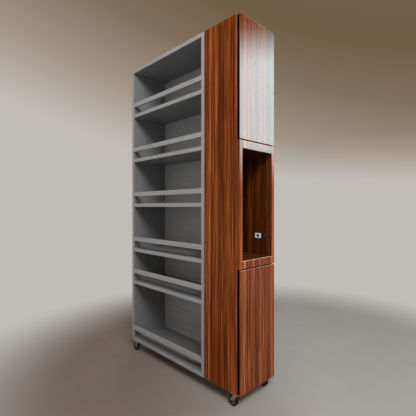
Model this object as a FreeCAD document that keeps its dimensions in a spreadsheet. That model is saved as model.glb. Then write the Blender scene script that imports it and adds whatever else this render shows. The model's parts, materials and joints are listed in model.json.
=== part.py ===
"""Rolling pantry cart: an open grey shelf module bolted to a closed wood tower, on four casters.

Frame: millimetres, +Z up, origin on the floor under the middle of the cart.
+X points to the end that carries the two doors, -Y to the open side of the shelves.
"front" is the open -Y side, "rear" the +Y side, "left" the -X end and "right" the +X end.
"""
import FreeCAD, Part
import os
from FreeCAD import Placement, Rotation, Vector
from Sketcher import Constraint

DIMENSIONS = [
    ("cart_length", 1105, "overall length, along X"),
    ("cart_depth", 333, "overall depth, along Y"),
    ("carcass_tall", 2125, "height of the carcass, without the casters"),
    ("caster_tall", 80, "floor to the underside of the carcass"),
    ("board", 25, "thickness of the carcass boards"),
    ("tower_length", 283, "length of the tower, doors included"),
    ("low_bay", 447, "underside of the bottom board to underside of shelf 5"),
    ("fifth_bay", 253, "underside of shelf 5 to underside of shelf 4"),
    ("bay_pitch", 350, "pitch of the four upper bays"),
    ("back_thick", 18, "thickness of the shelf module's back panel"),
    ("back_inset", 12, "set-back of the back panel from the rear face"),
    ("rail_lift", 83, "underside of a shelf to underside of its rail"),
    ("rail_tall", 31, "height of a retaining rail"),
    ("rail_thick", 18, "thickness of a retaining rail"),
    ("dowel_dia", 8, "diameter of the wooden dowels"),
    ("rail_dowel_length", 30, "length of a rail dowel"),
    ("tower_dowel_length", 40, "length of a tower dowel"),
    ("tower_dowel_sunk", 14, "depth of a tower dowel in the side panel"),
    ("screw_dia", 6, "shank diameter of an assembly screw"),
    ("screw_length", 50, "length of an assembly screw with its head"),
    ("screw_head_dia", 10, "head diameter of an assembly screw"),
    ("screw_head_tall", 4, "head height of an assembly screw"),
    ("screw_front", 60, "front row of screws from the front face"),
    ("screw_rear", 90, "rear row of screws from the rear face"),
    ("bolt_dia", 8, "diameter of a module connector bolt"),
    ("bolt_head_dia", 15, "head diameter of a module connector bolt"),
    ("bolt_head_tall", 2, "head height of a module connector bolt"),
    ("bolt_row", 70, "connector bolts either side of the middle plane"),
    ("tower_back_thick", 12, "thickness of the tower's own back"),
    ("frame_tall", 46, "height of the niche sill and of the niche header"),
    ("niche_tall", 630, "clear height of the niche"),
    ("door_thick", 16, "thickness of a door"),
    ("door_gap", 3, "gap between a door's back and the carcass"),
    ("door_reveal", 6, "gap between a door and the niche frame"),
    ("door_drop", 3, "lower door's bottom edge below the carcass underside"),
    ("door_lip", 2.5, "front lip left by the finger bevel"),
    ("hinge_bevel", 10, "bevel on the back of a door's hinge edge"),
    ("inner_shelf_thick", 18, "thickness of an adjustable shelf"),
    ("inner_shelf_play", 1, "play round an adjustable shelf"),
    ("inner_shelf_setback", 12, "adjustable shelf behind the carcass front"),
    ("pin_dia", 5, "diameter of a shelf pin"),
    ("pin_length", 16, "length of a shelf pin"),
    ("pin_margin", 37, "shelf pins from the front and the back of the tower"),
    ("hinge_tall", 60, "height of a butt hinge"),
    ("hinge_end", 80, "hinge centre from the end of its door"),
    ("hinge_inset", 4.3, "hinge axis in from the rear face"),
    ("knuckle_dia", 8, "outer diameter of a hinge knuckle"),
    ("knuckle_gap", 0.3, "gap between two knuckles"),
    ("hinge_pin_dia", 4, "diameter of a hinge pin"),
    ("running_gap", 0.05, "radial clearance of a pin or axle that turns"),
    ("leaf_thick", 1.2, "thickness of a hinge leaf"),
    ("frame_leaf_wide", 20, "width of the leaf on the carcass, from the hinge axis"),
    ("door_leaf_wide", 28, "width of the leaf on the door, from the hinge axis"),
    ("catch_wide", 14, "magnetic catch, across the side panel's face"),
    ("catch_deep", 18, "magnetic catch, front to back"),
    ("catch_tall", 42, "height of a magnetic catch"),
    ("catch_end", 140, "catch centre from the top of its door"),
    ("strike_thick", 1.5, "thickness of a strike plate"),
    ("strike_wide", 12, "width of a strike plate"),
    ("strike_tall", 38, "height of a strike plate"),
    ("outlet_back", 104, "outlet centre behind the door face"),
    ("outlet_rise", 120, "outlet centre above the niche floor"),
    ("outlet_wide", 43, "width of the outlet frame"),
    ("outlet_tall", 31, "height of the outlet frame"),
    ("outlet_proud", 3, "outlet frame proud of the wall"),
    ("outlet_box_wide", 35, "width of the outlet's box in the wall"),
    ("outlet_box_tall", 25, "height of the outlet's box in the wall"),
    ("outlet_box_deep", 15, "depth of the outlet's box in the wall"),
    ("socket_dia", 20, "diameter of the outlet's round socket"),
    ("socket_floor", 3, "thickness of the socket's floor"),
    ("socket_recess_dia", 16, "diameter of the socket's recess"),
    ("socket_recess_deep", 9, "depth of the socket's recess"),
    ("contact_dia", 3, "diameter of a contact hole"),
    ("contact_pitch", 8, "distance between the two contact holes"),
    ("grommet_back", 63, "cable grommet centre behind the door face"),
    ("grommet_rise", 124, "cable grommet centre above the niche floor"),
    ("grommet_dia", 28, "diameter of the cable grommet's flange"),
    ("grommet_proud", 2, "cable grommet's flange proud of the wall"),
    ("grommet_barrel_dia", 24, "diameter of the cable grommet's barrel"),
    ("grommet_bore_dia", 20, "bore of the cable grommet"),
    ("membrane_thick", 2, "thickness of the membrane across the grommet's bore"),
    ("membrane_hole_dia", 5, "hole in the middle of the membrane"),
    ("left_swivel_end", 52, "left swivel axes from the left end of the cart"),
    ("right_swivel_end", 44, "right swivel axes from the right end of the cart"),
    ("swivel_side", 22, "swivel axis from the long face of the cart"),
    ("trail", 21, "wheel axle behind the swivel axis"),
    ("wheel_dia", 60, "diameter of a wheel"),
    ("tyre_wide", 21, "width of a tyre"),
    ("rim_dia", 42, "diameter of the hub under the tyre"),
    ("rim_wide", 17, "width of the hub's rim"),
    ("hub_dia", 17, "diameter of the hub's boss"),
    ("hub_wide", 21.6, "width of the hub's boss"),
    ("axle_dia", 8, "diameter of an axle bolt"),
    ("axle_head_dia", 13, "diameter of an axle bolt's head and nut"),
    ("axle_head_tall", 3.5, "height of an axle bolt's head and nut"),
    ("fork_thick", 2.5, "sheet thickness of a fork"),
    ("fork_inside", 22.5, "clear width between a fork's cheeks"),
    ("fork_foot_dia", 18, "diameter of a cheek's foot round the axle"),
    ("crown_dia", 44, "diameter of a fork's crown"),
    ("plate_long", 50, "caster plate along X"),
    ("plate_wide", 42, "caster plate along Y"),
    ("plate_thick", 2.5, "thickness of a caster plate"),
    ("race_dia", 36, "diameter of the swivel race under the plate"),
    ("race_tall", 3, "height of the swivel race under the plate"),
    ("swivel_gap", 0.2, "axial gap in the swivel"),
    ("king_dia", 10, "diameter of a king pin"),
    ("king_head_dia", 17, "diameter of a king pin's head"),
    ("king_head_tall", 2, "height of a king pin's head"),
    ("mount_screw_long", 16, "caster screws either side of the swivel, along X"),
    ("mount_screw_wide", 16, "caster screws either side of the swivel, along Y"),
    ("mount_screw_dia", 4, "shank diameter of a caster screw"),
    ("mount_screw_length", 16, "length of a caster screw in the carcass"),
    ("mount_head_dia", 8, "head diameter of a caster screw"),
    ("mount_head_tall", 2, "head height of a caster screw"),
]

doc = FreeCAD.newDocument("pantry_cart")
sheet = doc.addObject("Spreadsheet::Sheet", "dims")
for row, (alias, number, meaning) in enumerate(DIMENSIONS, start=1):
    sheet.set(f"A{row}", meaning)
    sheet.set(f"B{row}", str(number))
    sheet.setAlias(f"B{row}", alias)
doc.recompute()

# Planes of the cart, written once as expressions on the sheet's cells.
LEFT = "(0 - dims.cart_length / 2)"
RIGHT = "(dims.cart_length / 2)"
FRONT = "(0 - dims.cart_depth / 2)"
REAR = "(dims.cart_depth / 2)"
DECK = "dims.caster_tall"
TOP = "(dims.caster_tall + dims.carcass_tall)"
TOWER_LEFT = "(dims.cart_length / 2 - dims.tower_length)"
TOWER_INSIDE = f"({TOWER_LEFT} + dims.tower_back_thick)"
CARCASS_FRONT = f"({RIGHT} - dims.door_thick - dims.door_gap)"
DOOR_BACK = f"({RIGHT} - dims.door_thick)"
BAY_LEFT = f"({LEFT} + dims.board)"
BAY_RIGHT = f"({TOWER_LEFT} - dims.board)"
BACK_FRONT = f"({REAR} - dims.back_inset - dims.back_thick)"
WALL_FRONT = f"({FRONT} + dims.board)"
WALL_REAR = f"({REAR} - dims.board)"
SILL_BOTTOM = f"({DECK} + dims.low_bay + dims.fifth_bay)"
NICHE_FLOOR = f"({SILL_BOTTOM} + dims.frame_tall)"
NICHE_CEILING = f"({NICHE_FLOOR} + dims.niche_tall)"
HEADER_TOP = f"({NICHE_CEILING} + dims.frame_tall)"
HINGE_X = f"({CARCASS_FRONT} + dims.door_gap / 2)"
HINGE_Y = f"({REAR} - dims.hinge_inset)"
OUTLET_Z = f"({NICHE_FLOOR} + dims.outlet_rise)"
GROMMET_Z = f"({NICHE_FLOOR} + dims.grommet_rise)"

# Where the four casters' swivel axes stand.
SWIVELS = {
    f"{depth}_{side}_caster": (x, y)
    for side, x in (("left", f"({LEFT} + dims.left_swivel_end)"),
                    ("right", f"({RIGHT} - dims.right_swivel_end)"))
    for depth, y in (("front", f"({FRONT} + dims.swivel_side)"), ("rear", f"({REAR} - dims.swivel_side)"))
}

ALONG_X = Rotation(Vector(0, 1, 0), 90)
ALONG_Y = Rotation(Vector(1, 0, 0), -90)
ALONG_Z = Rotation()

nodes = []


def bind(item, bindings):
    """Tie properties of an object to expressions on the sheet."""
    for name, expression in bindings.items():
        item.setExpression(name, expression)


def place(item, x, y, z, rotation=ALONG_Z):
    item.Placement = Placement(Vector(), rotation)
    bind(item, {"Placement.Base.x": x, "Placement.Base.y": y, "Placement.Base.z": z})
    return item


def node(item, label):
    """Name a finished sub-part, and list it for export."""
    item.Label = label
    nodes.append(item)
    return item


def block(name, x_span, y_span, z_span):
    """A rectangular board between two planes on each axis."""
    board = doc.addObject("Part::Box", name)
    spans = {"Length": x_span, "Width": y_span, "Height": z_span}
    for side, (low, high) in spans.items():
        board.setExpression(side, f"({high}) - ({low})")
    return place(board, x_span[0], y_span[0], z_span[0])


def rod(name, diameter, length, x, y, z, rotation=ALONG_Z):
    """A cylinder from x, y, z along the rotated Z axis."""
    cylinder = doc.addObject("Part::Cylinder", name)
    bind(cylinder, {"Radius": f"{diameter} / 2", "Height": length})
    return place(cylinder, x, y, z, rotation)


def fuse(name, shapes):
    union = doc.addObject("Part::MultiFuse", name)
    union.Shapes = shapes
    union.Refine = True
    return union


def cut(name, base, tool):
    difference = doc.addObject("Part::Cut", name)
    difference.Base = base
    difference.Tool = tool
    return difference


def origin_plane(body, role):
    return next(item for item in body.Origin.OriginFeatures if item.Role == role)


def outline(body, name, role, corners):
    """A closed sketch through corners, each held by two dimensions from the origin."""
    sketch = body.newObject("Sketcher::SketchObject", name)
    sketch.AttachmentSupport = (origin_plane(body, role), [""])
    sketch.MapMode = "FlatFace"
    at = [Vector(value(across), value(up), 0) for across, up in corners]
    for index, start in enumerate(at):
        sketch.addGeometry(Part.LineSegment(start, at[(index + 1) % len(at)]), False)
    for index in range(len(at)):
        following = (index + 1) % len(at)
        sketch.addConstraint(Constraint("Coincident", index, 2, following, 1))
    for index, (across, up) in enumerate(corners):
        for kind, expression in (("DistanceX", across), ("DistanceY", up)):
            number = sketch.addConstraint(Constraint(kind, -1, 1, index, 1, value(expression)))
            sketch.setExpression(f"Constraints[{number}]", expression)
    return sketch


def value(expression):
    """The present value of an expression on the sheet, in millimetres."""
    result = sheet.evalExpression(expression)
    return float(getattr(result, "Value", result))


def pad(body, name, sketch, length, reverse=False):
    feature = body.newObject("PartDesign::Pad", name)
    feature.Profile = sketch
    feature.Reversed = reverse
    feature.setExpression("Length", length)
    return feature


def turned(name, half_outline):
    """A body of revolution about its own Z axis, from (radius, height) corners."""
    body = doc.addObject("PartDesign::Body", name)
    sketch = outline(body, f"{name}_section", "XZ_Plane", half_outline)
    feature = body.newObject("PartDesign::Revolution", f"{name}_turning")
    feature.Profile = sketch
    feature.ReferenceAxis = (sketch, ["V_Axis"])
    feature.Angle = 360
    return body


# ---------------------------------------------------------------- shelf module
SHELF_UNDERSIDES = {
    "shelf_1": f"({SILL_BOTTOM} + 3 * dims.bay_pitch)",
    "shelf_2": f"({SILL_BOTTOM} + 2 * dims.bay_pitch)",
    "shelf_3": f"({SILL_BOTTOM} + dims.bay_pitch)",
    "shelf_4": SILL_BOTTOM,
    "shelf_5": f"({DECK} + dims.low_bay)",
}
TIER_UNDERSIDES = dict(SHELF_UNDERSIDES, bottom_board=DECK)
BOARD_UNDERSIDES = dict(TIER_UNDERSIDES, top_board=f"({TOP} - dims.board)")
END_FACES = {"left": LEFT, "right": TOWER_LEFT}


def assembly_screws():
    """Screws through the two upright panels into the ends of every board."""
    pieces = []
    for board, underside in BOARD_UNDERSIDES.items():
        middle = f"{underside} + dims.board / 2"
        for row, y in (("front", f"{FRONT} + dims.screw_front"), ("rear", f"{REAR} - dims.screw_rear")):
            for end, face in END_FACES.items():
                name = f"{board}_{end}_{row}_screw"
                shank_start = face if end == "left" else f"{face} - dims.screw_length"
                head_start = face if end == "left" else f"{face} - dims.screw_head_tall"
                pieces.append(rod(f"{name}_shank", "dims.screw_dia", "dims.screw_length",
                                  shank_start, y, middle, ALONG_X))
                pieces.append(rod(f"{name}_head", "dims.screw_head_dia", "dims.screw_head_tall",
                                  head_start, y, middle, ALONG_X))
    return node(fuse("assembly_screws", pieces), "assembly_screws")


def rail_dowels():
    """Two dowels per rail, half in the rail and half in the upright panel."""
    pieces = []
    for board, underside in TIER_UNDERSIDES.items():
        middle = f"{underside} + dims.rail_lift + dims.rail_tall / 2"
        for end, face in (("left", BAY_LEFT), ("right", BAY_RIGHT)):
            pieces.append(rod(f"{board}_{end}_rail_dowel", "dims.dowel_dia", "dims.rail_dowel_length",
                              f"{face} - dims.rail_dowel_length / 2", f"{FRONT} + dims.rail_thick / 2",
                              middle, ALONG_X))
    return node(fuse("rail_dowels", pieces), "rail_dowels")


def module_bolts():
    """Connector bolts that clamp the tower's back to the shelf module."""
    pieces = []
    heights = [f"{DECK} + dims.low_bay / 3", f"{SILL_BOTTOM} - dims.frame_tall * 2",
               f"{HEADER_TOP} + dims.frame_tall * 3", f"{TOP} - dims.frame_tall * 3"]
    for level, height in enumerate(heights, start=1):
        for side, y in (("front", "0 - dims.bolt_row"), ("rear", "dims.bolt_row")):
            name = f"bolt_{level}_{side}"
            pieces.append(rod(f"{name}_shank", "dims.bolt_dia", "dims.board + dims.tower_back_thick",
                              BAY_RIGHT, y, height, ALONG_X))
            pieces.append(rod(f"{name}_head", "dims.bolt_head_dia", "dims.bolt_head_tall",
                              f"{BAY_RIGHT} - dims.bolt_head_tall", y, height, ALONG_X))
            pieces.append(rod(f"{name}_nut", "dims.bolt_head_dia", "dims.bolt_head_tall",
                              TOWER_INSIDE, y, height, ALONG_X))
    return node(fuse("module_bolts", pieces), "module_bolts")


def caster_screws():
    """Four screws up through each caster plate into the carcass."""
    pieces = []
    for corner, (x, y) in SWIVELS.items():
        for x_sign in ("+", "-"):
            for y_sign in ("+", "-"):
                screw_x = f"{x} {x_sign} dims.mount_screw_long"
                screw_y = f"{y} {y_sign} dims.mount_screw_wide"
                name = f"{corner}_screw_{len(pieces)}"
                pieces.append(rod(f"{name}_shank", "dims.mount_screw_dia",
                                  "dims.mount_screw_length + dims.plate_thick",
                                  screw_x, screw_y, f"{DECK} - dims.plate_thick"))
                pieces.append(rod(f"{name}_head", "dims.mount_head_dia", "dims.mount_head_tall",
                                  screw_x, screw_y,
                                  f"{DECK} - dims.plate_thick - dims.mount_head_tall"))
    return node(fuse("caster_screws", pieces), "caster_screws")


def shelf_module(screws, dowels, bolts, feet):
    end_blank = block("end_blank", (LEFT, BAY_LEFT), (FRONT, REAR), (DECK, TOP))
    end_fixings = fuse("end_fixings", [screws, dowels])
    node(cut("end_panel", end_blank, end_fixings), "shelf_end_panel")

    inner_blank = block("inner_blank", (BAY_RIGHT, TOWER_LEFT), (FRONT, REAR), (DECK, TOP))
    inner_fixings = fuse("inner_fixings", [screws, dowels, bolts])
    node(cut("inner_panel", inner_blank, inner_fixings), "shelf_inner_panel")

    for name, underside in BOARD_UNDERSIDES.items():
        full_depth = name not in SHELF_UNDERSIDES
        rear_face = REAR if full_depth else BACK_FRONT
        blank = block(f"{name}_blank", (BAY_LEFT, BAY_RIGHT), (FRONT, rear_face),
                      (underside, f"{underside} + dims.board"))
        fixings = fuse("bottom_fixings", [screws, feet]) if name == "bottom_board" else screws
        node(cut(f"{name}_drilled", blank, fixings), name)

    for number, (name, underside) in enumerate(TIER_UNDERSIDES.items(), start=1):
        bottom = f"({underside} + dims.rail_lift)"
        blank = block(f"rail_{number}_blank", (BAY_LEFT, BAY_RIGHT), (FRONT, f"{FRONT} + dims.rail_thick"),
                      (bottom, f"{bottom} + dims.rail_tall"))
        node(cut(f"rail_{number}_drilled", blank, dowels), f"rail_{number}")

    back = block("back_board", (BAY_LEFT, BAY_RIGHT), (BACK_FRONT, f"{REAR} - dims.back_inset"),
                 (f"{DECK} + dims.board", f"{TOP} - dims.board"))
    node(back, "shelf_back_panel")


# ----------------------------------------------------------------------- tower
TOWER_BOARDS = {
    "tower_bottom": (DECK, f"({DECK} + dims.board)", CARCASS_FRONT),
    "niche_sill": (SILL_BOTTOM, NICHE_FLOOR, RIGHT),
    "niche_header": (NICHE_CEILING, HEADER_TOP, RIGHT),
    "tower_top": (f"({TOP} - dims.board)", TOP, CARCASS_FRONT),
}
DOORS = {
    "lower": (f"({DECK} - dims.door_drop)", f"({SILL_BOTTOM} - dims.door_reveal)"),
    "upper": (f"({HEADER_TOP} + dims.door_reveal)", TOP),
}
COMPARTMENTS = {
    "lower": (f"({DECK} + dims.board)", SILL_BOTTOM),
    "upper": (HEADER_TOP, f"({TOP} - dims.board)"),
}


def hinge_heights(door):
    """The middle heights of a door's three hinges."""
    low, high = DOORS[door]
    return [f"({low} + dims.hinge_end)", f"(({low} + {high}) / 2)", f"({high} - dims.hinge_end)"]


def inner_shelf_bottom(compartment):
    low, high = COMPARTMENTS[compartment]
    return f"(({low} + {high}) / 2)"


def tower_dowels():
    """Dowels between the two side panels and the tower's four cross boards."""
    pieces = []
    for board, (low, high, _) in TOWER_BOARDS.items():
        middle = f"({low} + {high}) / 2"
        for place_name, x in (("inner", f"{TOWER_INSIDE} + dims.pin_margin"),
                              ("outer", f"{CARCASS_FRONT} - dims.pin_margin * 2")):
            for side, y in (("front", f"{WALL_FRONT} - dims.tower_dowel_sunk"),
                            ("rear", f"{WALL_REAR} + dims.tower_dowel_sunk - dims.tower_dowel_length")):
                pieces.append(rod(f"{board}_{place_name}_{side}_dowel", "dims.dowel_dia",
                                  "dims.tower_dowel_length", x, y, middle, ALONG_Y))
    return node(fuse("tower_dowels", pieces), "tower_dowels")


def shelf_pins():
    """Pins in the side panels, with the adjustable shelves resting on them."""
    pieces = []
    for compartment in COMPARTMENTS:
        height = f"{inner_shelf_bottom(compartment)} - dims.pin_dia / 2"
        for row, x in (("inner", f"{TOWER_INSIDE} + dims.pin_margin"),
                       ("outer", f"{CARCASS_FRONT} - dims.inner_shelf_setback - dims.pin_margin")):
            for side, y in (("front", f"{WALL_FRONT} - dims.pin_length / 2"),
                            ("rear", f"{WALL_REAR} - dims.pin_length / 2")):
                pieces.append(rod(f"{compartment}_{row}_{side}_pin", "dims.pin_dia", "dims.pin_length",
                                  x, y, height, ALONG_Y))
    return node(fuse("shelf_pins", pieces), "shelf_pins")


def side_panel(name, near_face, label, tools):
    """A tall side panel that steps forward beside the niche, where no door covers it."""
    body = doc.addObject("PartDesign::Body", f"{name}_blank")
    corners = [
        (TOWER_LEFT, DECK), (CARCASS_FRONT, DECK), (CARCASS_FRONT, SILL_BOTTOM), (RIGHT, SILL_BOTTOM),
        (RIGHT, HEADER_TOP), (CARCASS_FRONT, HEADER_TOP), (CARCASS_FRONT, TOP), (TOWER_LEFT, TOP),
    ]
    sketch = outline(body, f"{name}_outline", "XZ_Plane", corners)
    pad(body, f"{name}_thickness", sketch, "dims.board", reverse=True)
    body.setExpression("Placement.Base.y", near_face)
    return node(cut(name, body, fuse(f"{name}_fixings", tools)), label)


def hinge_gains():
    """Room for the hinge knuckles in the front edge of the rear side panel."""
    pieces = []
    for door in DOORS:
        for number, height in enumerate(hinge_heights(door), start=1):
            pieces.append(rod(f"{door}_gain_{number}", "(dims.knuckle_dia + 2 * dims.knuckle_gap)",
                              "dims.hinge_tall + 2 * dims.knuckle_gap", HINGE_X, HINGE_Y,
                              f"{height} - dims.hinge_tall / 2 - dims.knuckle_gap"))
    return pieces


def tower_carcass(dowels, pins, bolts, feet, wall_fittings):
    side_panel("tower_front_side", FRONT, "tower_front_side", [dowels, pins, feet])
    rear_tools = [dowels, pins, feet] + hinge_gains() + wall_fittings
    side_panel("tower_rear_side", WALL_REAR, "tower_rear_side", rear_tools)

    back = block("tower_back_blank", (TOWER_LEFT, TOWER_INSIDE), (WALL_FRONT, WALL_REAR), (DECK, TOP))
    node(cut("tower_back_drilled", back, bolts), "tower_back")

    for name, (low, high, board_front) in TOWER_BOARDS.items():
        blank = block(f"{name}_blank", (TOWER_INSIDE, board_front), (WALL_FRONT, WALL_REAR), (low, high))
        fixings = fuse("tower_bottom_fixings", [dowels, feet]) if name == "tower_bottom" else dowels
        node(cut(f"{name}_drilled", blank, fixings), name)

    for compartment in COMPARTMENTS:
        bottom = inner_shelf_bottom(compartment)
        shelf = block(
            f"{compartment}_shelf_board",
            (f"({TOWER_INSIDE} + dims.bolt_head_tall + dims.inner_shelf_play)",
             f"({CARCASS_FRONT} - dims.inner_shelf_setback)"),
            (f"({WALL_FRONT} + dims.inner_shelf_play)", f"({WALL_REAR} - dims.inner_shelf_play)"),
            (bottom, f"({bottom} + dims.inner_shelf_thick)"))
        node(shelf, f"{compartment}_cabinet_shelf")


# ----------------------------------------------------------------------- doors
def door_panel(door):
    """A door with a finger bevel behind its front edge and a small one at its hinge edge."""
    low, high = DOORS[door]
    finger_bevel = "(dims.door_thick - dims.door_lip)"
    corners = [
        (RIGHT, FRONT), (RIGHT, REAR), (f"{DOOR_BACK} + dims.hinge_bevel", REAR),
        (DOOR_BACK, f"{REAR} - dims.hinge_bevel"), (DOOR_BACK, f"{FRONT} + {finger_bevel}"),
        (f"{RIGHT} - dims.door_lip", FRONT),
    ]
    body = doc.addObject("PartDesign::Body", f"{door}_door_body")
    sketch = outline(body, f"{door}_door_section", "XY_Plane", corners)
    pad(body, f"{door}_door_rise", sketch, f"{high} - {low}")
    body.setExpression("Placement.Base.z", low)
    node(body, f"{door}_door")


def knuckle(name, height, low_part, high_part, bored):
    """A length of hinge knuckle, between two fractions of the hinge's height."""
    bottom = f"{height} + dims.hinge_tall * ({low_part} - 0.5) + dims.knuckle_gap / 2"
    length = f"dims.hinge_tall * ({high_part} - {low_part}) - dims.knuckle_gap"
    diameter = "(dims.hinge_pin_dia + 2 * dims.running_gap)" if bored else "dims.knuckle_dia"
    return rod(name, diameter, length, HINGE_X, HINGE_Y, bottom)


THIRDS = ("0", "1 / 3", "2 / 3", "1")


def hinge_leaf(name, height, plate_x, wide, own_thirds):
    """One hinge leaf: a plate whose tongues reach the knuckles of its own thirds of the height."""
    near_x, far_x = plate_x
    pieces = []
    bores = []
    plate_edge = f"({HINGE_Y} - dims.knuckle_dia / 2 - dims.knuckle_gap)"
    tongue_edge = f"({HINGE_Y} - dims.knuckle_dia * 3 / 8)"
    bottom = f"({height} - dims.hinge_tall / 2 + dims.knuckle_gap / 2)"
    top = f"({height} + dims.hinge_tall / 2 - dims.knuckle_gap / 2)"
    pieces.append(block(f"{name}_plate", (near_x, far_x), (f"({HINGE_Y} - {wide})", plate_edge),
                        (bottom, top)))
    for third in own_thirds:
        low_part, high_part = THIRDS[third], THIRDS[third + 1]
        tongue_bottom = f"({height} + dims.hinge_tall * ({low_part} - 0.5) + dims.knuckle_gap / 2)"
        tongue_top = f"({height} + dims.hinge_tall * ({high_part} - 0.5) - dims.knuckle_gap / 2)"
        pieces.append(block(f"{name}_tongue_{third}", (near_x, far_x), (plate_edge, tongue_edge),
                            (tongue_bottom, tongue_top)))
        pieces.append(knuckle(f"{name}_knuckle_{third}", height, low_part, high_part, False))
        bores.append(knuckle(f"{name}_bore_{third}", height, low_part, high_part, True))
    bore = fuse(f"{name}_bores", bores) if len(bores) > 1 else bores[0]
    return cut(name, fuse(f"{name}_solid", pieces), bore)


def hinges():
    """Three butt hinges on each door, with their knuckles let into the rear corner."""
    frame_leaves = []
    pins = []
    for door in DOORS:
        door_leaves = []
        for number, height in enumerate(hinge_heights(door), start=1):
            name = f"{door}_hinge_{number}"
            frame_leaves.append(hinge_leaf(
                f"{name}_frame_leaf", height,
                (CARCASS_FRONT, f"({CARCASS_FRONT} + dims.leaf_thick)"), "dims.frame_leaf_wide", (0, 2)))
            door_leaves.append(hinge_leaf(
                f"{name}_door_leaf", height,
                (f"({DOOR_BACK} - dims.leaf_thick)", DOOR_BACK), "dims.door_leaf_wide", (1,)))
            pins.append(rod(f"{name}_pin", "dims.hinge_pin_dia", "dims.hinge_tall", HINGE_X, HINGE_Y,
                            f"{height} - dims.hinge_tall / 2"))
        node(fuse(f"{door}_door_leaves", door_leaves), f"{door}_door_hinge_leaves")
    node(fuse("frame_leaves", frame_leaves), "carcass_hinge_leaves")
    node(fuse("hinge_pin_set", pins), "hinge_pins")


def catches():
    """A magnetic catch on the front side panel and a strike plate on each door."""
    bodies = []
    for door, (_, high) in DOORS.items():
        middle = f"({high} - dims.catch_end)"
        pole_front = f"({DOOR_BACK} - dims.strike_thick - dims.knuckle_gap)"
        housing = block(
            f"{door}_catch_housing", (f"({CARCASS_FRONT} - dims.catch_deep)", CARCASS_FRONT),
            (WALL_FRONT, f"({WALL_FRONT} + dims.catch_wide)"),
            (f"({middle} - dims.catch_tall / 2)", f"({middle} + dims.catch_tall / 2)"))
        pole = block(
            f"{door}_catch_pole", (CARCASS_FRONT, pole_front),
            (f"({WALL_FRONT} + dims.catch_wide / 2 - dims.strike_wide / 4)",
             f"({WALL_FRONT} + dims.catch_wide / 2 + dims.strike_wide / 4)"),
            (f"({middle} - dims.strike_tall / 2)", f"({middle} + dims.strike_tall / 2)"))
        bodies.append(fuse(f"{door}_catch", [housing, pole]))
        strike = block(
            f"{door}_strike", (f"({DOOR_BACK} - dims.strike_thick)", DOOR_BACK),
            (f"({WALL_FRONT} + dims.catch_wide / 2 - dims.strike_wide / 2)",
             f"({WALL_FRONT} + dims.catch_wide / 2 + dims.strike_wide / 2)"),
            (f"({middle} - dims.strike_tall / 2)", f"({middle} + dims.strike_tall / 2)"))
        node(strike, f"{door}_door_strike")
    node(fuse("catch_pair", bodies), "magnetic_catches")


# -------------------------------------------------------- outlet in the niche
def outlet():
    """A small outlet in the niche's rear wall: a frame, and a round socket set into it."""
    x = f"({RIGHT} - dims.outlet_back)"
    face = block(
        "outlet_face",
        (f"({x} - dims.outlet_wide / 2)", f"({x} + dims.outlet_wide / 2)"),
        (f"({WALL_REAR} - dims.outlet_proud)", WALL_REAR),
        (f"({OUTLET_Z} - dims.outlet_tall / 2)", f"({OUTLET_Z} + dims.outlet_tall / 2)"))
    recessed = block(
        "outlet_box",
        (f"({x} - dims.outlet_box_wide / 2)", f"({x} + dims.outlet_box_wide / 2)"),
        (WALL_REAR, f"({WALL_REAR} + dims.outlet_box_deep)"),
        (f"({OUTLET_Z} - dims.outlet_box_tall / 2)", f"({OUTLET_Z} + dims.outlet_box_tall / 2)"))
    seat = rod("outlet_seat", "dims.socket_dia", "dims.outlet_proud + dims.outlet_box_deep - dims.socket_floor",
               x, f"{WALL_REAR} - dims.outlet_proud", OUTLET_Z, ALONG_Y)
    node(cut("outlet_frame", fuse("outlet_solid", [face, recessed]), seat), "outlet_frame")

    plug = rod("socket_blank", "dims.socket_dia",
               "dims.outlet_proud + dims.outlet_box_deep - dims.socket_floor",
               x, f"{WALL_REAR} - dims.outlet_proud", OUTLET_Z, ALONG_Y)
    recess = rod("socket_recess", "dims.socket_recess_dia", "dims.socket_recess_deep",
                 x, f"{WALL_REAR} - dims.outlet_proud", OUTLET_Z, ALONG_Y)
    contacts = [
        rod(f"contact_{side}", "dims.contact_dia",
            "dims.outlet_proud + dims.outlet_box_deep - 2 * dims.socket_floor",
            f"{x} {sign} dims.contact_pitch / 2", f"{WALL_REAR} - dims.outlet_proud", OUTLET_Z, ALONG_Y)
        for side, sign in (("left", "-"), ("right", "+"))
    ]
    node(cut("outlet_socket", plug, fuse("socket_hollows", [recess] + contacts)), "outlet_socket")


def grommet():
    """A rubber cable grommet through the niche's rear wall, closed by a thin membrane."""
    bore_radius = "dims.grommet_bore_dia / 2"
    hole_radius = "dims.membrane_hole_dia / 2"
    middle = "(dims.grommet_proud + dims.board / 2)"
    end = "(dims.grommet_proud + dims.board)"
    body = turned("cable_grommet", [
        (bore_radius, "0"), ("dims.grommet_dia / 2", "0"),
        ("dims.grommet_dia / 2", "dims.grommet_proud"),
        ("dims.grommet_barrel_dia / 2", "dims.grommet_proud"), ("dims.grommet_barrel_dia / 2", end),
        (bore_radius, end), (bore_radius, f"{middle} + dims.membrane_thick / 2"),
        (hole_radius, f"{middle} + dims.membrane_thick / 2"),
        (hole_radius, f"{middle} - dims.membrane_thick / 2"),
        (bore_radius, f"{middle} - dims.membrane_thick / 2"),
    ])
    place(body, f"{RIGHT} - dims.grommet_back", f"{WALL_REAR} - dims.grommet_proud", GROMMET_Z, ALONG_Y)
    return node(body, "cable_grommet")


def grommet_hole():
    return rod("grommet_hole", "dims.grommet_barrel_dia", "dims.board",
               f"{RIGHT} - dims.grommet_back", WALL_REAR, GROMMET_Z, ALONG_Y)


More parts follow.
